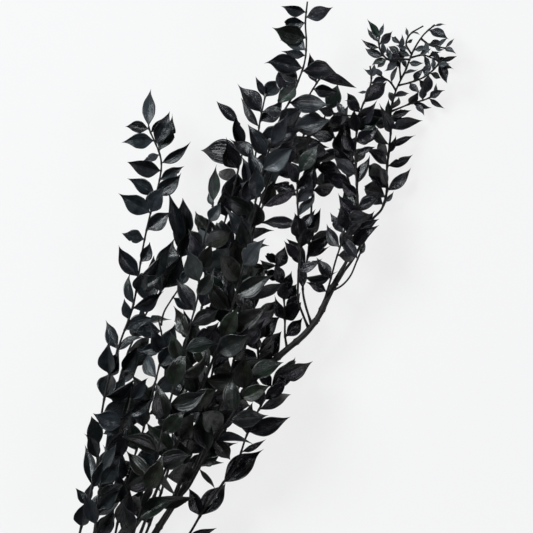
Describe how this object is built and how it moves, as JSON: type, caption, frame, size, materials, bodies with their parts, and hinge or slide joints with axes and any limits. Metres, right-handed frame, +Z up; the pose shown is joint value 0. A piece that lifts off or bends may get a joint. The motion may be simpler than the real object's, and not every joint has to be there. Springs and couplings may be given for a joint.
{
  "type": "dried ruscus stem",
  "caption": "Black-dyed dried ruscus stem lying down: a long slanting stalk that forks into leafy shoots with pointed blades and ends in a tuft of small ones.",
  "frame": {"origin": "on the surface under the cut foot of the stalk, where its flat underside lies", "axes": "+Y runs along the surface from the cut foot towards the tips, +X to the right seen from above, +Z up from the surface"},
  "size_m": [0.397, 0.7348, 0.1213],
  "materials": {
    "stalk": "dyed, dull, with faint lengthwise ridges",
    "foliage": "dyed, leathery, with a soft sheen"
  },
  "bodies": {
    "root": {"stalk": "stalk", "left_outer_shoot": "foliage", "left_inner_shoot": "foliage", "left_fill_shoot": "foliage", "centre_front_shoot": "foliage", "centre_back_shoot": "foliage", "centre_tall_shoot": "foliage", "tall_front_shoot": "foliage", "centre_low_shoot": "foliage", "crown_right_shoot": "foliage", "inner_right_shoot": "foliage", "inner_front_shoot": "foliage", "arc_left_shoot": "foliage", "arc_low_shoot": "foliage", "arc_inner_shoot": "foliage", "right_inner_shoot": "foliage", "right_outer_shoot": "foliage", "arc_loop_shoot": "foliage", "right_low_shoot": "foliage", "low_front_shoot": "foliage", "low_left_shoot": "foliage", "left_wisp_shoot": "foliage"}
  },
  "joints": []
}
